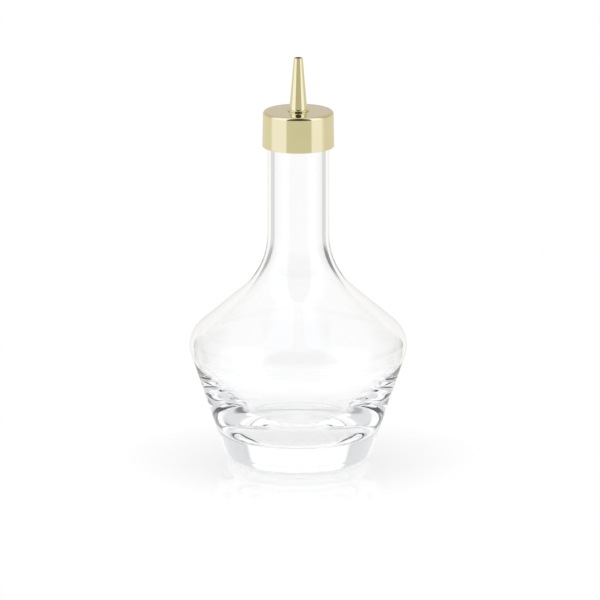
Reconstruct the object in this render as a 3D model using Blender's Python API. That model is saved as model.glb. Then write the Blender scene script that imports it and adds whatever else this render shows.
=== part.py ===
"""Clear glass bitters bottle with a press-in metal dasher top.

The bottle stands on z = 0 with its axis on +Z. The dasher top is dimensioned from the rim of
the glass mouth, and hangs from an empty on that rim, because it pulls straight up out of the neck.
"""

import math

import bmesh
import bpy

MM = 0.001

# Glass, outside
BASE_CORNER_RADIUS = 24.1 * MM  # where the wall would meet the table without its rounded heel
HEEL_FILLET = 5.0 * MM
BELLY_CORNER_RADIUS = 38.4 * MM  # where the wall and the shoulder would meet
BELLY_CORNER_HEIGHT = 43.15 * MM
BELLY_FILLET = 9.0 * MM
NECK_RADIUS = 10.4 * MM
SHOULDER_ROOT_HEIGHT = 67.1 * MM  # where the shoulder would meet the neck
SHOULDER_FILLET = 25.6 * MM
MOUTH_HEIGHT = 117.9 * MM
RIM_FILLET = 0.8 * MM
PUSH_UP_RADIUS = 17.4 * MM  # the hollow under the base, inside the ring it stands on
PUSH_UP_HEIGHT = 0.5 * MM

# Glass, inside
BORE_RADIUS = 8.3 * MM
SHOULDER_WALL = 2.0 * MM
BOWL_RADIUS = 35.2 * MM
BOWL_TOP = 40.0 * MM  # below this height the wall thickens towards the base
BOWL_FLOOR_RADIUS = 10.0 * MM  # the flat part of the floor
BASE_THICKNESS = 9.5 * MM
BOWL_WALL_PULL = 8.0 * MM  # how far the bowl keeps the direction of its wall
BOWL_FLOOR_PULL = 12.0 * MM  # and the direction of its floor
INNER_BELLY_FILLET = 6.8 * MM

# Dasher top: heights are above the glass rim
GAP = 0.3 * MM  # between pieces that touch
CAP_RADIUS = 12.0 * MM  # at the top
CAP_SKIRT_RADIUS = 12.2 * MM  # at the lower edge
CAP_TOP = 3.6 * MM
CAP_SKIRT_BOTTOM = -8.7 * MM
CAP_TOP_WALL = 0.9 * MM
CAP_SKIRT_WALL = 0.7 * MM
CAP_TOP_FILLET = 1.1 * MM
CAP_INNER_FILLET = 0.5 * MM
CAP_LIP_FILLET = 0.25 * MM

SPOUT_TIP = 21.9 * MM
SPOUT_TIP_RADIUS = 1.5 * MM
SPOUT_ROOT_RADIUS = 3.05 * MM
SPOUT_FOOT_RADIUS = 3.6 * MM
SPOUT_FOOT_RIM = 0.15 * MM
SPOUT_FOOT_FILLET = 0.5 * MM
SPOUT_CHANNEL_RADIUS = 1.0 * MM
STEM_RADIUS = 2.4 * MM
STEM_BOTTOM = -7.9 * MM
STEM_SOCKET_RADIUS = 1.6 * MM
STEM_SOCKET_TOP = -4.4 * MM

FLANGE_RADIUS = 9.8 * MM
FLANGE_THICKNESS = 1.0 * MM
SLEEVE_RADIUS = 6.3 * MM
SLEEVE_BOTTOM = -6.7 * MM
GROOVE_DEPTH = 0.8 * MM
GROOVE_WIDTH = 1.6 * MM
RING_HEIGHTS = {
    "seal_ring_upper": -1.2 * MM,
    "seal_ring_middle": -3.3 * MM,
    "seal_ring_lower": -5.4 * MM,
}
GASKET_INNER_RADIUS = 6.9 * MM
GASKET_OUTER_RADIUS = 10.2 * MM

NUT_ACROSS_FLATS = 8.0 * MM
NUT_THICKNESS = 1.0 * MM
INSERT_HOLE_RADIUS = 0.5 * MM
INSERT_HEAD_RADIUS = 2.2 * MM
INSERT_HEAD_THICKNESS = 0.4 * MM

# Smoothness
BODY_SEGMENTS = 56
SMALL_SEGMENTS = 32
ARC_STEP = math.radians(15)
BOWL_STEPS = 14
MERGE_DISTANCE = 1e-6
SHARP_ANGLE = math.radians(35)


def clear_scene():
    for obj in list(bpy.data.objects):
        bpy.data.objects.remove(obj, do_unlink=True)


def new_material(name, colour, roughness, metallic=0.0, transmission=0.0):
    material = bpy.data.materials.new(name)
    material.use_nodes = True
    shader = material.node_tree.nodes["Principled BSDF"]
    shader.inputs["Base Color"].default_value = (*colour, 1.0)
    shader.inputs["Roughness"].default_value = roughness
    shader.inputs["Metallic"].default_value = metallic
    shader.inputs["Transmission Weight"].default_value = transmission
    return material


def corner_arc(before, corner, after, radius):
    """Points of the arc that rounds a corner between two straight stretches."""
    to_before = (before[0] - corner[0], before[1] - corner[1])
    to_after = (after[0] - corner[0], after[1] - corner[1])
    start_direction = math.atan2(to_before[1], to_before[0])
    end_direction = math.atan2(to_after[1], to_after[0])
    opening = (end_direction - start_direction + math.pi) % (2 * math.pi) - math.pi
    tangent_length = radius / math.tan(abs(opening) / 2)
    middle = start_direction + opening / 2
    centre_distance = radius / math.sin(abs(opening) / 2)
    centre = (
        corner[0] + centre_distance * math.cos(middle),
        corner[1] + centre_distance * math.sin(middle),
    )
    start = (
        corner[0] + tangent_length * math.cos(start_direction),
        corner[1] + tangent_length * math.sin(start_direction),
    )
    start_angle = math.atan2(start[1] - centre[1], start[0] - centre[0])
    sweep = -math.copysign(math.pi - abs(opening), opening)
    steps = max(2, math.ceil(abs(sweep) / ARC_STEP))
    return [
        (
            centre[0] + radius * math.cos(start_angle + sweep * i / steps),
            centre[1] + radius * math.sin(start_angle + sweep * i / steps),
        )
        for i in range(steps + 1)
    ]


def rounded_outline(corners):
    """(radius, height) points along a chain of (radius, height, fillet) corners."""
    points = []
    for i, (radius, height, fillet) in enumerate(corners):
        if fillet == 0:
            points.append((radius, height))
        else:
            points += corner_arc(corners[i - 1], corners[i], corners[i + 1], fillet)
    return points


def bezier_points(start, start_handle, end_handle, end):
    """Points of a cubic Bezier curve, both ends included."""
    points = []
    for i in range(BOWL_STEPS + 1):
        t = i / BOWL_STEPS
        weights = ((1 - t) ** 3, 3 * t * (1 - t) ** 2, 3 * t * t * (1 - t), t ** 3)
        controls = (start, start_handle, end_handle, end)
        points.append(
            (
                sum(w * radius for w, (radius, _) in zip(weights, controls)),
                sum(w * height for w, (_, height) in zip(weights, controls)),
            )
        )
    return points


def turned_piece(name, outline, material, closed, segments=SMALL_SEGMENTS, parent=None):
    """A solid of revolution about Z. An outline that isn't closed starts and ends on the axis."""
    bm = bmesh.new()
    verts = [bm.verts.new((radius, 0, height)) for radius, height in outline]
    edges = [bm.edges.new(pair) for pair in zip(verts, verts[1:])]
    if closed:
        edges.append(bm.edges.new((verts[-1], verts[0])))
    bmesh.ops.spin(
        bm,
        geom=verts + edges,
        axis=(0, 0, 1),
        cent=(0, 0, 0),
        angle=2 * math.pi,
        steps=segments,
        use_merge=True,
    )
    bmesh.ops.remove_doubles(bm, verts=bm.verts, dist=MERGE_DISTANCE)
    return finish_piece(name, bm, material, parent)


def finish_piece(name, bm, material, parent):
    bmesh.ops.recalc_face_normals(bm, faces=bm.faces)
    mesh = bpy.data.meshes.new(name)
    bm.to_mesh(mesh)
    bm.free()
    mesh.shade_smooth()
    mesh.set_sharp_from_angle(angle=SHARP_ANGLE)
    mesh.materials.append(material)
    piece = bpy.data.objects.new(name, mesh)
    piece.parent = parent
    bpy.context.scene.collection.objects.link(piece)
    return piece


def glass_bottle(material):
    shoulder_run = BELLY_CORNER_RADIUS - NECK_RADIUS
    shoulder_drop = SHOULDER_ROOT_HEIGHT - BELLY_CORNER_HEIGHT
    shoulder_length = math.hypot(shoulder_run, shoulder_drop)
    # the inner shoulder runs parallel to the outer one, a wall's thickness below it
    drop_below = SHOULDER_WALL * shoulder_length / shoulder_run
    slope = shoulder_drop / shoulder_run

    def inner_shoulder_height(radius):
        return SHOULDER_ROOT_HEIGHT - drop_below - slope * (radius - NECK_RADIUS)

    inner_neck_fillet = SHOULDER_FILLET + SHOULDER_WALL
    corners = [
        (0, PUSH_UP_HEIGHT, 0),
        (PUSH_UP_RADIUS * 0.8, PUSH_UP_HEIGHT * 0.6, 0),
        (PUSH_UP_RADIUS, 0, 0),
        (BASE_CORNER_RADIUS, 0, HEEL_FILLET),
        (BELLY_CORNER_RADIUS, BELLY_CORNER_HEIGHT, BELLY_FILLET),
        (NECK_RADIUS, SHOULDER_ROOT_HEIGHT, SHOULDER_FILLET),
        (NECK_RADIUS, MOUTH_HEIGHT, RIM_FILLET),
        (BORE_RADIUS, MOUTH_HEIGHT, RIM_FILLET),
        (BORE_RADIUS, inner_shoulder_height(BORE_RADIUS), inner_neck_fillet),
        (BOWL_RADIUS, inner_shoulder_height(BOWL_RADIUS), INNER_BELLY_FILLET),
    ]
    bowl = bezier_points(
        (BOWL_RADIUS, BOWL_TOP),
        (BOWL_RADIUS, BOWL_TOP - BOWL_WALL_PULL),
        (BOWL_FLOOR_RADIUS + BOWL_FLOOR_PULL, BASE_THICKNESS),
        (BOWL_FLOOR_RADIUS, BASE_THICKNESS),
    )
    corners.append((*bowl[0], 0))
    outline = rounded_outline(corners) + bowl[1:] + [(0, BASE_THICKNESS)]
    return turned_piece("glass_bottle", outline, material, False, BODY_SEGMENTS)


def cap_shell(material, parent):
    hole_radius = STEM_RADIUS + GAP
    underside = CAP_TOP - CAP_TOP_WALL
    corners = [
        (hole_radius, underside, 0),
        (hole_radius, CAP_TOP, 0),
        (CAP_RADIUS, CAP_TOP, CAP_TOP_FILLET),
        (CAP_SKIRT_RADIUS, CAP_SKIRT_BOTTOM, CAP_LIP_FILLET),
        (CAP_SKIRT_RADIUS - CAP_SKIRT_WALL, CAP_SKIRT_BOTTOM, CAP_LIP_FILLET),
        (CAP_RADIUS - CAP_SKIRT_WALL, underside, CAP_INNER_FILLET),
    ]
    corners.append(corners[0])
    outline = rounded_outline(corners)[:-1]
    return turned_piece("cap_shell", outline, material, True, BODY_SEGMENTS, parent)


def dasher_spout(material, parent):
    foot_bottom = CAP_TOP + GAP
    foot_rim = foot_bottom + SPOUT_FOOT_RIM
    corners = [
        (STEM_SOCKET_RADIUS, STEM_BOTTOM, 0),
        (STEM_RADIUS, STEM_BOTTOM, 0),
        (STEM_RADIUS, foot_bottom, 0),
        (SPOUT_FOOT_RADIUS, foot_bottom, 0),
        (SPOUT_FOOT_RADIUS, foot_rim, 0),
        (SPOUT_ROOT_RADIUS, foot_rim, SPOUT_FOOT_FILLET),
        (SPOUT_TIP_RADIUS, SPOUT_TIP, 0.2 * MM),
        (SPOUT_CHANNEL_RADIUS, SPOUT_TIP, 0),
        (SPOUT_CHANNEL_RADIUS, STEM_SOCKET_TOP, 0),
        (STEM_SOCKET_RADIUS, STEM_SOCKET_TOP, 0),
    ]
    outline = rounded_outline(corners)
    return turned_piece("dasher_spout", outline, material, True, parent=parent)


def stopper_sleeve(material, parent):
    flange_top = CAP_TOP - CAP_TOP_WALL - GAP
    flange_bottom = flange_top - FLANGE_THICKNESS
    bore_radius = STEM_RADIUS + GAP
    groove_radius = SLEEVE_RADIUS - GROOVE_DEPTH
    outline = [
        (bore_radius, flange_top),
        (FLANGE_RADIUS, flange_top),
        (FLANGE_RADIUS, flange_bottom),
        (SLEEVE_RADIUS, flange_bottom),
    ]
    for height in RING_HEIGHTS.values():
        outline += [
            (SLEEVE_RADIUS, height + GROOVE_WIDTH / 2),
            (groove_radius, height + GROOVE_WIDTH / 2),
            (groove_radius, height - GROOVE_WIDTH / 2),
            (SLEEVE_RADIUS, height - GROOVE_WIDTH / 2),
        ]
    outline += [(SLEEVE_RADIUS, SLEEVE_BOTTOM), (bore_radius, SLEEVE_BOTTOM)]
    return turned_piece("stopper_sleeve", outline, material, True, parent=parent)


def rim_gasket(material, parent):
    top = CAP_TOP - CAP_TOP_WALL - FLANGE_THICKNESS - 2 * GAP
    outline = [
        (GASKET_INNER_RADIUS, GAP),
        (GASKET_OUTER_RADIUS, GAP),
        (GASKET_OUTER_RADIUS, top),
        (GASKET_INNER_RADIUS, top),
    ]
    return turned_piece("rim_gasket", outline, material, True, parent=parent)


def seal_ring(name, height, material, parent):
    inner = SLEEVE_RADIUS - GROOVE_DEPTH + GAP
    outer = BORE_RADIUS - GAP
    half = GROOVE_WIDTH / 2 - GAP
    lip = half * 0.7  # the ring narrows towards the glass
    outline = [
        (inner, height - half),
        (outer - lip, height - half),
        (outer, height - half + lip),
        (outer, height + half - lip),
        (outer - lip, height + half),
        (inner, height + half),
    ]
    return turned_piece(name, outline, material, True, parent=parent)


def spout_nut(material, parent):
    """A thin hexagon nut on the stem, under the sleeve."""
    top = SLEEVE_BOTTOM - GAP
    bottom = top - NUT_THICKNESS
    corner_radius = NUT_ACROSS_FLATS / math.sqrt(3)
    hole_radius = STEM_RADIUS + GAP
    sides = 6
    per_side = 4
    steps = sides * per_side
    bm = bmesh.new()
    rings = []
    for height, is_outer in ((bottom, True), (top, True), (top, False), (bottom, False)):
        ring = []
        for i in range(steps):
            angle = 2 * math.pi * i / steps
            from_flat = angle % (2 * math.pi / sides) - math.pi / sides
            flat_radius = corner_radius * math.cos(math.pi / sides) / math.cos(from_flat)
            radius = flat_radius if is_outer else hole_radius
            ring.append(bm.verts.new((radius * math.cos(angle), radius * math.sin(angle), height)))
        rings.append(ring)
    for ring, following in zip(rings, rings[1:] + rings[:1]):
        for i in range(steps):
            j = (i + 1) % steps
            bm.faces.new((ring[i], ring[j], following[j], following[i]))
    return finish_piece("spout_nut", bm, material, parent)


def flow_insert(material, parent):
    """The small plug in the foot of the stem, whose hole meters the dashes."""
    body_radius = STEM_SOCKET_RADIUS - GAP
    head_top = STEM_BOTTOM - GAP
    head_bottom = head_top - INSERT_HEAD_THICKNESS
    body_top = STEM_SOCKET_TOP - GAP
    outline = [
        (INSERT_HOLE_RADIUS, head_bottom),
        (INSERT_HEAD_RADIUS, head_bottom),
        (INSERT_HEAD_RADIUS, head_top),
        (body_radius, head_top),
        (body_radius, body_top),
        (INSERT_HOLE_RADIUS, body_top),
    ]
    return turned_piece("flow_insert", outline, material, True, parent=parent)


def main():
    clear_scene()
    gold = (0.80, 0.71, 0.45)
    glass_bottle(new_material("clear_glass", (0.97, 0.98, 0.98), 0.0, transmission=1.0))

    lift_axis = bpy.data.objects.new("dasher_lift_axis", None)
    lift_axis.location = (0, 0, MOUTH_HEIGHT)
    bpy.context.scene.collection.objects.link(lift_axis)

    cap_shell(new_material("cap_gold", gold, 0.08, metallic=1.0), lift_axis)
    dasher_spout(new_material("spout_gold", gold, 0.06, metallic=1.0), lift_axis)
    stopper_sleeve(new_material("sleeve_plastic", (0.86, 0.86, 0.84), 0.45), lift_axis)
    rim_gasket(new_material("gasket_silicone", (0.78, 0.78, 0.76), 0.6), lift_axis)
    for name, height in RING_HEIGHTS.items():
        seal_ring(name, height, new_material(name + "_silicone", (0.72, 0.73, 0.72), 0.6), lift_axis)
    spout_nut(new_material("nut_brass", (0.72, 0.6, 0.35), 0.25, metallic=1.0), lift_axis)
    flow_insert(new_material("insert_plastic", (0.86, 0.86, 0.84), 0.45), lift_axis)


main()
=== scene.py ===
import math

import bmesh
import bpy
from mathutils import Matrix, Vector


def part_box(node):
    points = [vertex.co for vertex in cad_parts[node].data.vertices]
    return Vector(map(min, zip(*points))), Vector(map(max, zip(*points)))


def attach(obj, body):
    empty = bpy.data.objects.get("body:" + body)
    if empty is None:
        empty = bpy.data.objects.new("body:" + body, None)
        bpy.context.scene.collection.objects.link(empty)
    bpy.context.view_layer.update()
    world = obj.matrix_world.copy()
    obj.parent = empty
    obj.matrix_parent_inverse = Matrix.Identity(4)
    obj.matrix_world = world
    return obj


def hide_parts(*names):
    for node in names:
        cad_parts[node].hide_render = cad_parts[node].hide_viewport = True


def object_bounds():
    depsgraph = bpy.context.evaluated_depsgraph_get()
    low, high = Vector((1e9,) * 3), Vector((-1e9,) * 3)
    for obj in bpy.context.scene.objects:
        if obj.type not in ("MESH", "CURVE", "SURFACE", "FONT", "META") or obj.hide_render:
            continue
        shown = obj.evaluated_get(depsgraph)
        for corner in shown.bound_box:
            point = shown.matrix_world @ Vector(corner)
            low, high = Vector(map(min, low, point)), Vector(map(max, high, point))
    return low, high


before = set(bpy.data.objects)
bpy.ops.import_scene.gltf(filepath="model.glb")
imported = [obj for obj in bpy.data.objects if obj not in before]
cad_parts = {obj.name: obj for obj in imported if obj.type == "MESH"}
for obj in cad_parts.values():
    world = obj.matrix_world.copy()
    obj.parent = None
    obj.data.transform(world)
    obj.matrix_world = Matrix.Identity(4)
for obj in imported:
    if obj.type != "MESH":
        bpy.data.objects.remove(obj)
cadLow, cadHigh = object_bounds()
mm = 0.001


# small helpers for node trees and outlines

def link(tree, source, target):
    tree.links.new(source, target)


def addNode(tree, kind, **settings):
    node = tree.nodes.new(kind)
    for name, value in settings.items():
        setattr(node, name, value)
    return node


def feed(tree, socket, value):
    # value is an output socket, or a plain number, tuple or data block
    if isinstance(value, bpy.types.NodeSocket):
        link(tree, value, socket)
    else:
        socket.default_value = value


def calc(tree, operation, first, second=0.0, clamp=False):
    node = addNode(tree, "ShaderNodeMath", operation=operation, use_clamp=clamp)
    feed(tree, node.inputs[0], first)
    feed(tree, node.inputs[1], second)
    return node.outputs[0]


def smoothStep(tree, value, start, end, low=0.0, high=1.0):
    node = addNode(tree, "ShaderNodeMapRange", interpolation_type="SMOOTHSTEP")
    feed(tree, node.inputs["Value"], value)
    node.inputs["From Min"].default_value = start
    node.inputs["From Max"].default_value = end
    node.inputs["To Min"].default_value = low
    node.inputs["To Max"].default_value = high
    return node.outputs["Result"]


def mixColour(tree, factor, first, second, blend="MIX"):
    node = addNode(tree, "ShaderNodeMix", data_type="RGBA", blend_type=blend)
    feed(tree, node.inputs["Factor"], factor)
    for socket, value in ((node.inputs[6], first), (node.inputs[7], second)):
        feed(tree, socket, (*value, 1.0) if isinstance(value, tuple) else value)
    return node.outputs[2]


def roundCorner(before, corner, after, radius, step=math.radians(3)):
    # points of the arc that rounds a corner between two straight stretches
    backAngle = math.atan2(before[1] - corner[1], before[0] - corner[0])
    onAngle = math.atan2(after[1] - corner[1], after[0] - corner[0])
    opening = (onAngle - backAngle + math.pi) % (2 * math.pi) - math.pi
    tangent = radius / math.tan(abs(opening) / 2)
    reach = radius / math.sin(abs(opening) / 2)
    middle = backAngle + opening / 2
    centre = (corner[0] + reach * math.cos(middle), corner[1] + reach * math.sin(middle))
    start = (
        corner[0] + tangent * math.cos(backAngle),
        corner[1] + tangent * math.sin(backAngle),
    )
    first = math.atan2(start[1] - centre[1], start[0] - centre[0])
    sweep = -math.copysign(math.pi - abs(opening), opening)
    count = max(3, math.ceil(abs(sweep) / step))
    return [
        (
            centre[0] + radius * math.cos(first + sweep * i / count),
            centre[1] + radius * math.sin(first + sweep * i / count),
        )
        for i in range(count + 1)
    ]


def roundedChain(corners, closed=False):
    # corners are (radius, height, rounding); a closed chain comes back to its first point
    points = []
    for i, (radius, height, rounding) in enumerate(corners):
        if rounding == 0:
            points.append((radius, height))
        else:
            after = corners[(i + 1) % len(corners)]
            points += roundCorner(corners[i - 1], corners[i], after, rounding)
    if closed:
        points.append(points[0])
    return points


def filledIn(points, longest):
    # extra points on long straight stretches, so that ripples have vertices to move
    dense = [points[0]]
    for start, end in zip(points, points[1:]):
        count = max(1, math.ceil(math.dist(start, end) / longest))
        for i in range(1, count + 1):
            share = i / count
            dense.append(tuple(a + (b - a) * share for a, b in zip(start, end)))
    return dense


def bezierArc(controls, count):
    points = []
    for i in range(count + 1):
        t = i / count
        weights = ((1 - t) ** 3, 3 * t * (1 - t) ** 2, 3 * t * t * (1 - t), t ** 3)
        points.append(
            tuple(sum(w * c[axis] for w, c in zip(weights, controls)) for axis in (0, 1))
        )
    return points


# the lathe turns an outline about Z

def buildLatheTree():
    tree = bpy.data.node_groups.new("latheTurning", "GeometryNodeTree")
    face = tree.interface
    face.new_socket("Geometry", in_out="INPUT", socket_type="NodeSocketGeometry")
    for name, kind, value in (
        ("Outline", "NodeSocketObject", None),
        ("Outline Points", "NodeSocketInt", 2),
        ("Turn Steps", "NodeSocketInt", 96),
        ("Flats", "NodeSocketInt", 0),
        ("Across Flats", "NodeSocketFloat", 0.0),
        ("Ripple Height", "NodeSocketFloat", 0.0),
        ("Ripple Density", "NodeSocketFloat", 60.0),
        ("Ripple From Point", "NodeSocketInt", 0),
        ("Finish", "NodeSocketMaterial", None),
    ):
        socket = face.new_socket(name, in_out="INPUT", socket_type=kind)
        if value is not None:
            socket.default_value = value
    face.new_socket("Geometry", in_out="OUTPUT", socket_type="NodeSocketGeometry")

    given = addNode(tree, "NodeGroupInput")
    grid = addNode(tree, "GeometryNodeMeshGrid")
    grid.inputs["Size X"].default_value = 1.0
    grid.inputs["Size Y"].default_value = 1.0
    link(tree, given.outputs["Outline Points"], grid.inputs["Vertices X"])
    around = calc(tree, "ADD", given.outputs["Turn Steps"], 1.0)
    link(tree, around, grid.inputs["Vertices Y"])

    index = addNode(tree, "GeometryNodeInputIndex").outputs[0]
    along = calc(tree, "FLOOR", calc(tree, "DIVIDE", calc(tree, "ADD", index, 0.5), around))
    turned = calc(tree, "SUBTRACT", index, calc(tree, "MULTIPLY", along, around))
    angle = calc(
        tree, "MULTIPLY", calc(tree, "DIVIDE", turned, given.outputs["Turn Steps"]), 2 * math.pi
    )

    outline = addNode(tree, "GeometryNodeObjectInfo")
    link(tree, given.outputs["Outline"], outline.inputs["Object"])
    sample = addNode(tree, "GeometryNodeSampleIndex", data_type="FLOAT_VECTOR", domain="POINT")
    link(tree, outline.outputs["Geometry"], sample.inputs["Geometry"])
    link(tree, addNode(tree, "GeometryNodeInputPosition").outputs[0], sample.inputs["Value"])
    link(tree, along, sample.inputs["Index"])
    profile = addNode(tree, "ShaderNodeSeparateXYZ")
    link(tree, sample.outputs["Value"], profile.inputs[0])

    # a piece with flats is cut back to a prism, as a turned nut is milled
    flats = calc(tree, "MAXIMUM", given.outputs["Flats"], 1.0)
    flatTurn = calc(tree, "DIVIDE", 2 * math.pi, flats)
    fromFlat = calc(
        tree, "SUBTRACT", calc(tree, "MODULO", angle, flatTurn), calc(tree, "DIVIDE", flatTurn, 2.0)
    )
    halfAcross = calc(tree, "DIVIDE", given.outputs["Across Flats"], 2.0)
    prism = calc(tree, "DIVIDE", halfAcross, calc(tree, "COSINE", fromFlat))
    cut = calc(tree, "MINIMUM", profile.outputs["X"], prism)
    hasFlats = calc(tree, "GREATER_THAN", given.outputs["Flats"], 2.5)
    kept = calc(tree, "MULTIPLY", profile.outputs["X"], calc(tree, "SUBTRACT", 1.0, hasFlats))
    radius = calc(tree, "ADD", calc(tree, "MULTIPLY", cut, hasFlats), kept)

    place = addNode(tree, "ShaderNodeCombineXYZ")
    link(tree, calc(tree, "MULTIPLY", radius, calc(tree, "COSINE", angle)), place.inputs["X"])
    link(tree, calc(tree, "MULTIPLY", radius, calc(tree, "SINE", angle)), place.inputs["Y"])
    link(tree, profile.outputs["Z"], place.inputs["Z"])
    turn = addNode(tree, "GeometryNodeSetPosition")
    link(tree, grid.outputs["Mesh"], turn.inputs["Geometry"])
    link(tree, place.outputs[0], turn.inputs["Position"])

    # slow ripples in the wall, longer up the piece than round it
    stretched = addNode(tree, "ShaderNodeVectorMath", operation="MULTIPLY")
    link(tree, addNode(tree, "GeometryNodeInputPosition").outputs[0], stretched.inputs[0])
    stretched.inputs[1].default_value = (1.0, 1.0, 0.45)
    noise = addNode(tree, "ShaderNodeTexNoise", noise_dimensions="3D")
    link(tree, stretched.outputs[0], noise.inputs["Vector"])
    link(tree, given.outputs["Ripple Density"], noise.inputs["Scale"])
    noise.inputs["Detail"].default_value = 1.0
    swing = calc(tree, "SUBTRACT", noise.outputs["Fac"], 0.5)
    started = addNode(tree, "ShaderNodeMapRange", interpolation_type="SMOOTHSTEP")
    link(tree, along, started.inputs["Value"])
    link(tree, given.outputs["Ripple From Point"], started.inputs["From Min"])
    link(
        tree,
        calc(tree, "ADD", given.outputs["Ripple From Point"], 12.0),
        started.inputs["From Max"],
    )
    height = calc(tree, "MULTIPLY", swing, given.outputs["Ripple Height"])
    height = calc(tree, "MULTIPLY", height, started.outputs["Result"])
    push = addNode(tree, "ShaderNodeVectorMath", operation="SCALE")
    link(tree, addNode(tree, "GeometryNodeInputNormal").outputs[0], push.inputs[0])
    link(tree, height, push.inputs["Scale"])
    ripple = addNode(tree, "GeometryNodeSetPosition")
    link(tree, turn.outputs["Geometry"], ripple.inputs["Geometry"])
    link(tree, push.outputs[0], ripple.inputs["Offset"])

    close = addNode(tree, "GeometryNodeMergeByDistance")
    link(tree, ripple.outputs["Geometry"], close.inputs["Geometry"])
    close.inputs["Distance"].default_value = 2e-6
    real = addNode(tree, "GeometryNodeRealizeInstances")
    link(tree, close.outputs["Geometry"], real.inputs["Geometry"])
    finish = addNode(tree, "GeometryNodeSetMaterial")
    link(tree, real.outputs["Geometry"], finish.inputs["Geometry"])
    link(tree, given.outputs["Finish"], finish.inputs["Material"])
    result = addNode(tree, "NodeGroupOutput")
    link(tree, finish.outputs["Geometry"], result.inputs["Geometry"])
    return tree


latheTree = buildLatheTree()
print("lathe tree ready")


def turnPiece(name, outline, material, sharpAngle=40, turnSteps=128, **inputs):
    # the outline rides in a helper mesh whose vertices the lathe reads in order
    guideMesh = bpy.data.meshes.new(name + "Outline")
    guideMesh.from_pydata([(radius, 0, height) for radius, height in outline], [], [])
    guide = bpy.data.objects.new(name + "Outline", guideMesh)
    bpy.context.scene.collection.objects.link(guide)
    blank = bpy.data.objects.new(name + "Blank", bpy.data.meshes.new(name + "Blank"))
    bpy.context.scene.collection.objects.link(blank)
    lathe = blank.modifiers.new("lathe", "NODES")
    lathe.node_group = latheTree
    values = {
        "Outline": guide,
        "Outline Points": len(outline),
        "Turn Steps": turnSteps,
        "Finish": material,
        **inputs,
    }
    for item in latheTree.interface.items_tree:
        if item.in_out == "INPUT" and item.name in values:
            lathe[item.identifier] = values[item.name]
    bpy.context.view_layer.update()
    graph = bpy.context.evaluated_depsgraph_get()
    mesh = bpy.data.meshes.new_from_object(blank.evaluated_get(graph), depsgraph=graph)
    for helper in (blank, guide):
        bpy.data.objects.remove(helper)
    shape = bmesh.new()
    shape.from_mesh(mesh)
    bmesh.ops.remove_doubles(shape, verts=shape.verts, dist=1e-6)
    bmesh.ops.dissolve_degenerate(shape, edges=shape.edges, dist=1e-7)
    bmesh.ops.recalc_face_normals(shape, faces=shape.faces)
    shape.to_mesh(mesh)
    shape.free()
    mesh.shade_smooth()
    mesh.set_sharp_from_angle(angle=math.radians(sharpAngle))
    mesh.name = name
    piece = bpy.data.objects.new(name, mesh)
    bpy.context.scene.collection.objects.link(piece)
    return piece


def settle(piece, body, node):
    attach(piece, body)
    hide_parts(node)


# effects that several finishes share

def buildHandlingMarks():
    # soft fingertip blotches and hair-thin scratches, as masks and a height
    tree = bpy.data.node_groups.new("handlingMarks", "ShaderNodeTree")
    face = tree.interface
    face.new_socket("Position", in_out="INPUT", socket_type="NodeSocketVector")
    for name, value in (("Blotch Density", 90.0), ("Scratch Density", 700.0), ("Amount", 0.5)):
        face.new_socket(name, in_out="INPUT", socket_type="NodeSocketFloat").default_value = value
    for name in ("Blotches", "Scratches", "Height"):
        face.new_socket(name, in_out="OUTPUT", socket_type="NodeSocketFloat")
    given = addNode(tree, "NodeGroupInput")
    result = addNode(tree, "NodeGroupOutput")

    soft = addNode(tree, "ShaderNodeTexNoise")
    link(tree, given.outputs["Position"], soft.inputs["Vector"])
    link(tree, given.outputs["Blotch Density"], soft.inputs["Scale"])
    soft.inputs["Detail"].default_value = 3.0
    soft.inputs["Distortion"].default_value = 0.6
    blotches = smoothStep(tree, soft.outputs["Fac"], 0.46, 0.72)
    link(tree, calc(tree, "MULTIPLY", blotches, given.outputs["Amount"]), result.inputs["Blotches"])

    lines = None
    for angle, stretch in ((0.35, 0.06), (-0.9, 0.05)):
        lay = addNode(tree, "ShaderNodeMapping")
        link(tree, given.outputs["Position"], lay.inputs["Vector"])
        lay.inputs["Rotation"].default_value = (angle, angle * 0.7, angle * 1.9)
        lay.inputs["Scale"].default_value = (1.0, stretch, 1.0)
        cells = addNode(tree, "ShaderNodeTexNoise")
        link(tree, lay.outputs[0], cells.inputs["Vector"])
        link(tree, given.outputs["Scratch Density"], cells.inputs["Scale"])
        cells.inputs["Detail"].default_value = 2.0
        thin = smoothStep(tree, cells.outputs["Fac"], 0.66, 0.72)
        lines = thin if lines is None else calc(tree, "MAXIMUM", lines, thin)
    scratches = calc(tree, "MULTIPLY", lines, given.outputs["Amount"])
    link(tree, scratches, result.inputs["Scratches"])
    link(tree, calc(tree, "MULTIPLY", scratches, -1.0), result.inputs["Height"])
    return tree


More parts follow.
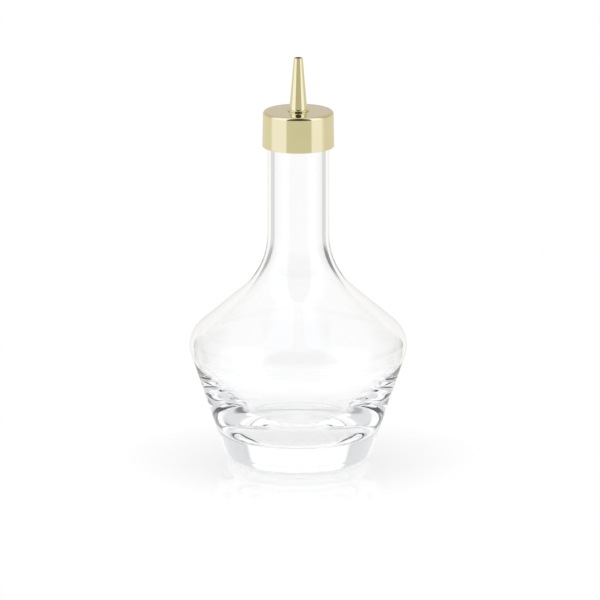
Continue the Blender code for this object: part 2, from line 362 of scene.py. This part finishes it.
def buildTurnedGrain():
    # fine rings left by the lathe, round the Z axis
    tree = bpy.data.node_groups.new("turnedGrain", "ShaderNodeTree")
    face = tree.interface
    face.new_socket("Position", in_out="INPUT", socket_type="NodeSocketVector")
    face.new_socket("Rings Per Metre", in_out="INPUT", socket_type="NodeSocketFloat")
    face.new_socket("Rings", in_out="OUTPUT", socket_type="NodeSocketFloat")
    given = addNode(tree, "NodeGroupInput")
    result = addNode(tree, "NodeGroupOutput")
    parts = addNode(tree, "ShaderNodeSeparateXYZ")
    link(tree, given.outputs["Position"], parts.inputs[0])
    across = calc(
        tree,
        "SQRT",
        calc(
            tree,
            "ADD",
            calc(tree, "MULTIPLY", parts.outputs["X"], parts.outputs["X"]),
            calc(tree, "MULTIPLY", parts.outputs["Y"], parts.outputs["Y"]),
        ),
    )
    ring = addNode(tree, "ShaderNodeCombineXYZ")
    link(tree, across, ring.inputs["X"])
    link(tree, parts.outputs["Z"], ring.inputs["Z"])
    noise = addNode(tree, "ShaderNodeTexNoise")
    link(tree, ring.outputs[0], noise.inputs["Vector"])
    link(tree, given.outputs["Rings Per Metre"], noise.inputs["Scale"])
    noise.inputs["Detail"].default_value = 2.0
    link(tree, noise.outputs["Fac"], result.inputs["Rings"])
    return tree


handlingMarks = buildHandlingMarks()
turnedGrain = buildTurnedGrain()


def newFinish(name):
    material = bpy.data.materials.new(name)
    material.use_nodes = True
    tree = material.node_tree
    place = addNode(tree, "ShaderNodeTexCoord").outputs["Object"]
    return material, tree, tree.nodes["Principled BSDF"], place


def addGroup(tree, group, place, **values):
    node = addNode(tree, "ShaderNodeGroup", node_tree=group)
    link(tree, place, node.inputs["Position"])
    for name, value in values.items():
        node.inputs[name.replace("_", " ")].default_value = value
    return node


def addBump(tree, shader, height, strength, distance):
    bump = addNode(tree, "ShaderNodeBump")
    bump.inputs["Strength"].default_value = strength
    bump.inputs["Distance"].default_value = distance
    link(tree, height, bump.inputs["Height"])
    link(tree, bump.outputs["Normal"], shader.inputs["Normal"])


def addNoise(tree, place, density, detail=2.0, stretch=(1.0, 1.0, 1.0)):
    lay = addNode(tree, "ShaderNodeMapping")
    link(tree, place, lay.inputs["Vector"])
    lay.inputs["Scale"].default_value = stretch
    noise = addNode(tree, "ShaderNodeTexNoise")
    link(tree, lay.outputs[0], noise.inputs["Vector"])
    noise.inputs["Scale"].default_value = density
    noise.inputs["Detail"].default_value = detail
    return noise.outputs["Fac"]


def clearGlass():
    # colourless glass with a breath of uneven tint, faint drawn streaks and light handling marks
    material, tree, shader, place = newFinish("clearGlass")
    shader.inputs["Transmission Weight"].default_value = 1.0
    shader.inputs["IOR"].default_value = 1.5
    tint = addNoise(tree, place, 35.0, stretch=(1.0, 1.0, 0.5))
    link(
        tree,
        mixColour(tree, tint, (0.990, 0.992, 0.991), (0.999, 1.0, 0.999)),
        shader.inputs["Base Color"],
    )
    marks = addGroup(tree, handlingMarks, place, Blotch_Density=70.0, Amount=0.35)
    rough = calc(tree, "MULTIPLY", marks.outputs["Blotches"], 0.012)
    link(tree, rough, shader.inputs["Roughness"])
    streaks = addNoise(tree, place, 120.0, detail=1.0, stretch=(1.0, 1.0, 0.12))
    addBump(tree, shader, streaks, 0.03, 0.00025)
    return material


def polishedGold(name, edges, grain, shadedBore=0.0):
    # pale gold plate: paler in broken patches at the edge heights (mm); in a channel (radius in mm) painted
    # dark as shade and made dull
    material, tree, shader, place = newFinish(name)
    shader.inputs["Metallic"].default_value = 1.0
    marks = addGroup(tree, handlingMarks, place, Blotch_Density=110.0, Amount=0.5)
    rings = addGroup(tree, turnedGrain, place, Rings_Per_Metre=9000.0)
    warm = addNoise(tree, place, 160.0)
    plate = mixColour(tree, warm, (0.825, 0.76, 0.475), (0.85, 0.79, 0.515))
    plate = mixColour(
        tree, calc(tree, "MULTIPLY", marks.outputs["Blotches"], 0.5), plate, (0.80, 0.735, 0.45)
    )
    parts = addNode(tree, "ShaderNodeSeparateXYZ")
    link(tree, place, parts.inputs[0])
    # the plate is mixed paler in broken patches within 0.45 mm of each listed height, which takes in the
    # cap's whole flat top
    paleBand = None
    for height in edges:
        away = calc(tree, "ABSOLUTE", calc(tree, "SUBTRACT", parts.outputs["Z"], height * mm))
        near = smoothStep(tree, away, 0.0, 0.45 * mm, 1.0, 0.0)
        paleBand = near if paleBand is None else calc(tree, "MAXIMUM", paleBand, near)
    broken = calc(tree, "MULTIPLY", paleBand, addNoise(tree, place, 420.0))
    plate = mixColour(tree, broken, plate, (0.90, 0.85, 0.60))
    flat = addNode(tree, "ShaderNodeVectorMath", operation="MULTIPLY")
    link(tree, place, flat.inputs[0])
    flat.inputs[1].default_value = (1.0, 1.0, 0.0)
    fromAxis = addNode(tree, "ShaderNodeVectorMath", operation="LENGTH")
    link(tree, flat.outputs[0], fromAxis.inputs[0])
    # painted shade: inside the channel radius the plate is painted near black, as if in shadow, and made
    # rougher
    inside = smoothStep(
        tree, fromAxis.outputs["Value"], shadedBore * mm, (shadedBore + 0.08) * mm, float(shadedBore > 0), 0.0
    )
    link(tree, mixColour(tree, inside, plate, (0.10, 0.09, 0.04)), shader.inputs["Base Color"])
    rough = calc(tree, "ADD", 0.045, calc(tree, "MULTIPLY", marks.outputs["Blotches"], 0.05))
    rough = calc(tree, "ADD", rough, calc(tree, "MULTIPLY", inside, 0.5))
    rough = calc(tree, "ADD", rough, calc(tree, "MULTIPLY", marks.outputs["Scratches"], 0.08))
    rough = calc(tree, "ADD", rough, calc(tree, "MULTIPLY", rings.outputs["Rings"], grain))
    link(tree, rough, shader.inputs["Roughness"])
    height = calc(
        tree,
        "ADD",
        calc(tree, "MULTIPLY", marks.outputs["Height"], 0.35),
        calc(tree, "MULTIPLY", rings.outputs["Rings"], 0.5),
    )
    addBump(tree, shader, height, 0.05, 0.00002)
    return material


def mouldedPlastic(name, pale, shade, roughness, softness):
    # natural polyethylene and silicone: a little light goes in, and the skin is faintly grained
    material, tree, shader, place = newFinish(name)
    shader.inputs["Subsurface Weight"].default_value = softness
    shader.inputs["Subsurface Radius"].default_value = (0.0012, 0.0011, 0.0010)
    cloud = addNoise(tree, place, 240.0, detail=3.0)
    link(tree, mixColour(tree, cloud, shade, pale), shader.inputs["Base Color"])
    marks = addGroup(tree, handlingMarks, place, Blotch_Density=220.0, Amount=0.6)
    rough = calc(tree, "ADD", roughness, calc(tree, "MULTIPLY", marks.outputs["Blotches"], 0.15))
    link(tree, rough, shader.inputs["Roughness"])
    grain = addNoise(tree, place, 3500.0)
    addBump(tree, shader, grain, 0.12, 0.00004)
    return material


def turnedBrass():
    material, tree, shader, place = newFinish("turnedBrass")
    shader.inputs["Metallic"].default_value = 1.0
    rings = addGroup(tree, turnedGrain, place, Rings_Per_Metre=5200.0)
    marks = addGroup(tree, handlingMarks, place, Blotch_Density=260.0, Amount=0.7)
    tone = mixColour(tree, rings.outputs["Rings"], (0.66, 0.52, 0.27), (0.80, 0.68, 0.40))
    tone = mixColour(tree, marks.outputs["Blotches"], tone, (0.52, 0.39, 0.20))
    link(tree, tone, shader.inputs["Base Color"])
    rough = calc(tree, "ADD", 0.2, calc(tree, "MULTIPLY", marks.outputs["Blotches"], 0.2))
    link(tree, rough, shader.inputs["Roughness"])
    addBump(tree, shader, rings.outputs["Rings"], 0.4, 0.00003)
    return material


print("finishes ready")


# sizes in the dictionaries are in millimetres

def inMetres(points):
    return [(radius * mm, height * mm) for radius, height in points]


def boxInMm(node):
    low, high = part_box(node)
    return low / mm, high / mm


bottleTop = boxInMm("glass_bottle")[1].z
capLow, capHigh = boxInMm("cap_shell")
spoutLow, spoutHigh = boxInMm("dasher_spout")

glass = {
    "baseCorner": 24.1,
    "heelRound": 5.0,
    "bellyCorner": 38.4,
    "bellyCornerHeight": 43.15,
    "bellyRound": 9.0,
    "neckRadius": 10.4,
    "neckRoot": 67.1,
    "neckRound": 25.6,
    "rimRound": 0.8,
    "pushUpRadius": 17.4,
    "pushUpHeight": 0.5,
    "boreRadius": 8.3,
    "wall": 2.0,
    "bowlRadius": 35.2,
    "bowlTop": 40.0,
    "bowlWallPull": 8.0,
    "bowlFloorRadius": 10.0,
    "bowlFloorPull": 12.0,
    "baseThickness": 9.5,
    "innerBellyRound": 6.8,
    "turnSteps": 224,
    "longestStep": 1.6,
    "ripple": 0.12,
    "rippleDensity": 70.0,
}


def makeBottle(size):
    # the inside runs a wall's thickness behind the shoulder, then rounds into the bowl
    run = size["bellyCorner"] - size["neckRadius"]
    slope = (size["neckRoot"] - size["bellyCornerHeight"]) / run

    def innerShoulder(radius):
        down = size["wall"] * math.hypot(1, slope)
        return size["neckRoot"] - down - slope * (radius - size["neckRadius"])

    bowlRadius, bowlTop = size["bowlRadius"], size["bowlTop"]
    floorRadius, floorHeight = size["bowlFloorRadius"], size["baseThickness"]
    bowl = bezierArc(
        (
            (bowlRadius, bowlTop),
            (bowlRadius, bowlTop - size["bowlWallPull"]),
            (floorRadius + size["bowlFloorPull"], floorHeight),
            (floorRadius, floorHeight),
        ),
        48,
    )
    pushUp = bezierArc(
        (
            (0, size["pushUpHeight"]),
            (size["pushUpRadius"] * 0.6, size["pushUpHeight"]),
            (size["pushUpRadius"] * 0.8, 0),
            (size["pushUpRadius"], 0),
        ),
        20,
    )
    corners = [
        (*pushUp[-1], 0),
        (size["baseCorner"], 0, size["heelRound"]),
        (size["bellyCorner"], size["bellyCornerHeight"], size["bellyRound"]),
        (size["neckRadius"], size["neckRoot"], size["neckRound"]),
        (size["neckRadius"], bottleTop, size["rimRound"]),
        (size["boreRadius"], bottleTop, size["rimRound"]),
        (
            size["boreRadius"],
            innerShoulder(size["boreRadius"]),
            size["neckRound"] + size["wall"],
        ),
        (bowlRadius, innerShoulder(bowlRadius), size["innerBellyRound"]),
        (*bowl[0], 0),
    ]
    aboveBowl = pushUp[:-1] + roundedChain(corners)
    bowlPoint = len(filledIn(aboveBowl, size["longestStep"]))
    outline = aboveBowl + bowl[1:] + [(0, floorHeight)]
    bottle = turnPiece(
        "clearBottle",
        inMetres(filledIn(outline, size["longestStep"])),
        clearGlass(),
        sharpAngle=60,
        turnSteps=size["turnSteps"],
        **{
            "Ripple Height": size["ripple"] * mm,
            "Ripple Density": size["rippleDensity"],
            "Ripple From Point": bowlPoint,
        },
    )
    settle(bottle, "bottle", "glass_bottle")
    return bottle


makeBottle(glass)
print("bottle turned")

cap = {
    "topWall": 0.9,
    "skirtWall": 0.7,
    "taper": 0.2,
    "topEdge": 1.1,
    "skirtEdge": 0.25,
    "innerEdge": 0.6,
    "stemHole": 2.7,
    "holeEdge": 0.15,
}


def makeCap(size):
    radius, top, bottom = capHigh.x, capHigh.z, capLow.z
    wall, under = size["skirtWall"], top - size["topWall"]
    outline = roundedChain(
        [
            (size["stemHole"], under, 0),
            (size["stemHole"], top, size["holeEdge"]),
            (radius - size["taper"], top, size["topEdge"]),
            (radius, bottom, size["skirtEdge"]),
            (radius - wall, bottom, size["skirtEdge"]),
            (radius - size["taper"] - wall, under, size["innerEdge"]),
        ],
        closed=True,
    )
    gold = polishedGold("capGold", (top, bottom), 0.03)
    piece = turnPiece("dasherCap", inMetres(outline), gold, sharpAngle=50, turnSteps=160)
    settle(piece, "dasher_top", "cap_shell")


makeCap(cap)

spout = {
    "tipRadius": 1.5,
    "channelRadius": 1.0,
    "tipRound": 0.2,
    "rootRadius": 3.05,
    "footGap": 0.04,
    "footRadius": 3.6,
    "footRim": 0.4,
    "footFlare": 0.5,
    "stemRadius": 2.4,
    "socketRadius": 1.6,
    "socketDepth": 3.5,
}


def makeSpout(size):
    foot = capHigh.z + size["footGap"]
    tip, bottom = spoutHigh.z, spoutLow.z
    socketTop = bottom + size["socketDepth"]
    outline = roundedChain(
        [
            (size["socketRadius"], bottom, 0),
            (size["stemRadius"], bottom, 0.15),
            (size["stemRadius"], foot, 0),
            (size["footRadius"], foot, 0.08),
            (size["footRadius"], foot + size["footRim"], 0.08),
            (size["rootRadius"], foot + size["footRim"], size["footFlare"]),
            (size["tipRadius"], tip, size["tipRound"]),
            (size["channelRadius"], tip, 0.1),
            (size["channelRadius"], socketTop, 0),
            (size["socketRadius"], socketTop, 0),
        ],
        closed=True,
    )
    # painted shade goes into the spout's bore, out to just past the channel radius
    gold = polishedGold("spoutGold", (tip, foot), 0.02, shadedBore=size["channelRadius"] + 0.05)
    piece = turnPiece("dasherSpout", inMetres(outline), gold, sharpAngle=50, turnSteps=96)
    settle(piece, "dasher_top", "dasher_spout")


makeSpout(spout)
print("cap and spout turned")

sleeve = {
    "bore": 2.7,
    "body": 6.3,
    "flange": 1.0,
    "grooveDepth": 0.8,
    "grooveWidth": 1.6,
    "edge": 0.12,
    "rings": ("seal_ring_upper", "seal_ring_middle", "seal_ring_lower"),
}


def makeSleeve(size):
    low, high = boxInMm("stopper_sleeve")
    underFlange = high.z - size["flange"]
    edge = size["edge"]
    corners = [
        (size["bore"], high.z, edge),
        (high.x, high.z, 2 * edge),
        (high.x, underFlange, edge),
        (size["body"], underFlange, edge),
    ]
    for ring in size["rings"]:
        ringLow, ringHigh = boxInMm(ring)
        middle = (ringLow.z + ringHigh.z) / 2
        upper, lower = middle + size["grooveWidth"] / 2, middle - size["grooveWidth"] / 2
        root = size["body"] - size["grooveDepth"]
        corners += [
            (size["body"], upper, edge),
            (root, upper, edge),
            (root, lower, edge),
            (size["body"], lower, edge),
        ]
    corners += [(size["body"], low.z, 2 * edge), (size["bore"], low.z, edge)]
    plastic = mouldedPlastic("sleevePlastic", (0.90, 0.89, 0.86), (0.84, 0.83, 0.79), 0.38, 0.25)
    outline = inMetres(roundedChain(corners, closed=True))
    piece = turnPiece("stopperSleeve", outline, plastic, sharpAngle=50, turnSteps=96)
    settle(piece, "dasher_top", "stopper_sleeve")


makeSleeve(sleeve)

seals = {
    "gasketInner": 6.9,
    "gasketEdge": 0.22,
    "ringInner": 5.8,
    "ringEdge": 0.1,
    "lip": 0.35,
    "lipEdge": 0.12,
}


def makeSeals(size):
    silicone = mouldedPlastic("silicone", (0.80, 0.81, 0.80), (0.73, 0.74, 0.73), 0.5, 0.4)
    low, high = boxInMm("rim_gasket")
    edge = size["gasketEdge"]
    outline = roundedChain(
        [
            (size["gasketInner"], low.z, edge),
            (high.x, low.z, edge),
            (high.x, high.z, edge),
            (size["gasketInner"], high.z, edge),
        ],
        closed=True,
    )
    piece = turnPiece("rimGasket", inMetres(outline), silicone, sharpAngle=60, turnSteps=96)
    settle(piece, "dasher_top", "rim_gasket")
    for name, node in (
        ("sealRingUpper", "seal_ring_upper"),
        ("sealRingMiddle", "seal_ring_middle"),
        ("sealRingLower", "seal_ring_lower"),
    ):
        low, high = boxInMm(node)
        edge, lip = size["ringEdge"], size["lip"]
        outline = roundedChain(
            [
                (size["ringInner"], low.z, edge),
                (high.x - lip, low.z, edge),
                (high.x, low.z + lip, size["lipEdge"]),
                (high.x, high.z - lip, size["lipEdge"]),
                (high.x - lip, high.z, edge),
                (size["ringInner"], high.z, edge),
            ],
            closed=True,
        )
        piece = turnPiece(name, inMetres(outline), silicone, sharpAngle=70, turnSteps=96)
        settle(piece, "dasher_top", node)


makeSeals(seals)

nut = {"acrossFlats": 8.0, "hole": 2.7, "cornerCut": 4.25, "cutHeight": 0.22, "countersink": 0.2}


def makeNut(size):
    low, high = boxInMm("spout_nut")
    corner = size["acrossFlats"] / math.sqrt(3) + 0.01
    hole, sink = size["hole"], size["countersink"]
    outline = [
        (hole, low.z + sink),
        (hole + sink, low.z),
        (size["acrossFlats"] / 2 - 0.1, low.z),
        (size["cornerCut"], low.z),
        (corner, low.z + size["cutHeight"]),
        (corner, high.z - size["cutHeight"]),
        (size["cornerCut"], high.z),
        (size["acrossFlats"] / 2 - 0.1, high.z),
        (hole + sink, high.z),
        (hole, high.z - sink),
        (hole, low.z + sink),
    ]
    piece = turnPiece(
        "stemNut",
        inMetres(filledIn(outline, 0.12)),
        turnedBrass(),
        sharpAngle=25,
        turnSteps=144,
        **{"Flats": 6, "Across Flats": size["acrossFlats"] * mm},
    )
    settle(piece, "dasher_top", "spout_nut")


makeNut(nut)

insert = {"hole": 0.5, "head": 0.4, "body": 1.3, "edge": 0.08}


def makeInsert(size):
    low, high = boxInMm("flow_insert")
    edge = size["edge"]
    outline = roundedChain(
        [
            (size["hole"], low.z, edge),
            (high.x, low.z, edge),
            (high.x, low.z + size["head"], edge),
            (size["body"], low.z + size["head"], edge),
            (size["body"], high.z, 2 * edge),
            (size["hole"], high.z, edge),
        ],
        closed=True,
    )
    plastic = mouldedPlastic("insertPlastic", (0.90, 0.89, 0.87), (0.83, 0.82, 0.79), 0.35, 0.25)
    piece = turnPiece("flowInsert", inMetres(outline), plastic, sharpAngle=50, turnSteps=64)
    settle(piece, "dasher_top", "flow_insert")


makeInsert(insert)
print("stopper, seals, nut and insert turned")

floorSize = {
    "below": 0.1,
    "edge": 150.0,
    "fadeFrom": 55.0,
    "fadeTo": 120.0,
    "polishFrom": 30.0,
    "polishTo": 90.0,
    "polish": 0.6,
    "glow": 0.66,
    "tone": 0.5,
}


def makeFloor(size):
    mesh = bpy.data.meshes.new("floorDisc")
    shape = bmesh.new()
    bmesh.ops.create_circle(shape, cap_ends=True, segments=96, radius=size["edge"] * mm)
    bmesh.ops.translate(shape, verts=shape.verts, vec=(0, 0, cadLow.z - size["below"] * mm))
    shape.to_mesh(mesh)
    shape.free()
    floor = bpy.data.objects.new("floorDisc", mesh)
    bpy.context.scene.collection.objects.link(floor)
    material, tree, shader, place = newFinish("paleFloor")
    out = addNode(tree, "ShaderNodeVectorMath", operation="LENGTH")
    link(tree, place, out.inputs[0])
    fromAxis = out.outputs["Value"]
    shader.inputs["Base Color"].default_value = (size["tone"], size["tone"], size["tone"], 1.0)
    shader.inputs["Roughness"].default_value = 0.6
    shader.inputs["Specular IOR Level"].default_value = 0.0
    shader.inputs["Coat Roughness"].default_value = 0.03
    shader.inputs["Emission Color"].default_value = (1.0, 1.0, 1.0, 1.0)
    shader.inputs["Emission Strength"].default_value = size["glow"]
    polish = smoothStep(tree, fromAxis, size["polishFrom"] * mm, size["polishTo"] * mm, size["polish"], 0.0)
    link(tree, polish, shader.inputs["Coat Weight"])
    solid = smoothStep(tree, fromAxis, size["fadeFrom"] * mm, size["fadeTo"] * mm, 1.0, 0.0)
    link(tree, solid, shader.inputs["Alpha"])
    mesh.materials.append(material)


makeFloor(floorSize)

# brightness of the studio round the bottle: what its surfaces mirror, then what shows through glass
mirrored = {
    "low": {
        "front": (0.72, 0.705, 0.60),
        "panel": (1.03, 1.03, 1.12),
        "leftGap": (0.825, 0.805, 0.74),
        "rightGap": (0.80, 0.775, 0.70),
        "back": (0.80, 0.78, 0.70),
    },
    "mid": {
        "front": (0.58, 0.55, 0.43),
        "panel": (1.14, 1.14, 1.28),
        "leftGap": (0.76, 0.74, 0.66),
        "rightGap": (0.72, 0.70, 0.62),
        "back": (0.70, 0.66, 0.60),
    },
    "high": {
        "front": (0.06, 0.055, 0.04),
        "panel": (1.15, 1.18, 1.45),
        "leftGap": (0.66, 0.63, 0.54),
        "rightGap": (0.60, 0.57, 0.46),
        "back": (0.66, 0.61, 0.58),
    },
    "overhead": (0.66, 0.61, 0.58),
}
through = {
    "low": {
        "front": (0.72, 0.72, 0.70),
        "panel": (1.03, 1.03, 1.06),
        "leftGap": (0.68, 0.68, 0.68),
        "rightGap": (0.68, 0.68, 0.68),
        "back": (1.01, 1.01, 1.01),
    },
    "mid": {
        "front": (0.66, 0.665, 0.68),
        "panel": (1.05, 1.05, 1.08),
        "leftGap": (0.40, 0.405, 0.415),
        "rightGap": (0.18, 0.18, 0.19),
        "back": (1.02, 1.02, 1.02),
    },
    "high": {
        "front": (0.50, 0.51, 0.53),
        "panel": (1.05, 1.05, 1.08),
        "leftGap": (0.70, 0.71, 0.73),
        "rightGap": (0.70, 0.71, 0.73),
        "back": (1.03, 1.03, 1.03),
    },
    "overhead": (1.6, 1.6, 1.6),
}
# where its parts stand, in degrees: 0 is in front of the bottle and + is to the right
studio = {
    "leftPanel": (-91, -40),
    "rightPanel": (45, 79),
    "leftGap": (-150, -100),
    "rightGap": (94, 150),
    "soft": 3,
    "lowToMid": (-10, -3),
    "midToHigh": (3, 11),
    "toOverhead": (78, 90),
}


def makeStudio(size):
    world = bpy.data.worlds.new("studio")
    bpy.context.scene.world = world
    world.use_nodes = True
    tree = world.node_tree
    shade = tree.nodes["Background"]
    parts = addNode(tree, "ShaderNodeSeparateXYZ")
    link(tree, addNode(tree, "ShaderNodeTexCoord").outputs["Generated"], parts.inputs[0])
    facing = calc(tree, "MULTIPLY", parts.outputs["Y"], -1.0)
    azimuth = calc(tree, "ARCTAN2", parts.outputs["X"], facing)
    azimuth = calc(tree, "ADD", calc(tree, "DIVIDE", azimuth, 2 * math.pi), 0.5)
    elevation = calc(tree, "ARCSINE", parts.outputs["Z"])
    elevation = calc(tree, "MULTIPLY", elevation, 180 / math.pi)

    def ring(tones):
        soft = size["soft"]
        stops = [(-180, "back"), (size["leftGap"][0] - 1, "back")]
        stops += [(size["leftGap"][0], "leftGap"), (size["leftGap"][1], "leftGap")]
        stops += [(size["leftPanel"][0], "panel"), (size["leftPanel"][1], "panel")]
        stops += [(size["leftPanel"][1] + soft, "front")]
        stops += [(size["rightPanel"][0] - soft, "front")]
        stops += [(size["rightPanel"][0], "panel"), (size["rightPanel"][1], "panel")]
        stops += [(size["rightGap"][0], "rightGap"), (size["rightGap"][1], "rightGap")]
        stops += [(size["rightGap"][1] + 1, "back"), (180, "back")]
        ramp = addNode(tree, "ShaderNodeValToRGB")
        elements = ramp.color_ramp.elements
        elements.remove(elements[0])
        for i, (degrees, part) in enumerate(stops):
            place = degrees / 360 + 0.5
            element = elements[0] if i == 0 else elements.new(place)
            element.position = place
            element.color = (*tones[part], 1.0)
        link(tree, azimuth, ramp.inputs[0])
        return ramp.outputs[0]

    toMid = smoothStep(tree, elevation, *size["lowToMid"])
    toHigh = smoothStep(tree, elevation, *size["midToHigh"])
    toTop = smoothStep(tree, elevation, *size["toOverhead"])

    def dome(tones):
        light = mixColour(tree, toMid, ring(tones["low"]), ring(tones["mid"]))
        light = mixColour(tree, toHigh, light, ring(tones["high"]))
        return mixColour(tree, toTop, light, tones["overhead"])

    # polished metal mirrors a duller room than the one that lights the glass and the floor
    path = addNode(tree, "ShaderNodeLightPath")
    notThrough = calc(tree, "SUBTRACT", 1.0, path.outputs["Is Transmission Ray"])
    isMirrored = calc(tree, "MULTIPLY", path.outputs["Is Glossy Ray"], notThrough)
    light = mixColour(tree, isMirrored, dome(through), dome(mirrored))
    seen = mixColour(tree, path.outputs["Is Camera Ray"], light, (1.0, 1.0, 1.0))
    link(tree, seen, shade.inputs["Color"])


makeStudio(studio)
print("floor and studio ready")

view = {"distance": 4.0, "elevation": 13.3, "aim": (0.00058, 0, 0.0556), "seen": 0.20364}


def makeCamera(size):
    camera = bpy.data.objects.new("camera", bpy.data.cameras.new("camera"))
    bpy.context.scene.collection.objects.link(camera)
    tilt = math.radians(size["elevation"])
    middle = (cadLow.z + cadHigh.z) / 2
    camera.location = (
        0,
        -size["distance"] * math.cos(tilt),
        middle + size["distance"] * math.sin(tilt),
    )
    gaze = Vector(size["aim"]) - camera.location
    camera.rotation_euler = gaze.to_track_quat("-Z", "Y").to_euler()
    camera.data.sensor_width = 36
    camera.data.lens = 36 * size["distance"] / size["seen"]
    camera.data.clip_end = 100
    bpy.context.scene.camera = camera


makeCamera(view)
bpy.context.scene.view_settings.view_transform = "Standard"
# light turns many corners inside the thick base before it leaves
bpy.context.scene.cycles.max_bounces = 24
bpy.context.scene.cycles.glossy_bounces = 20
bpy.context.scene.cycles.transmission_bounces = 24
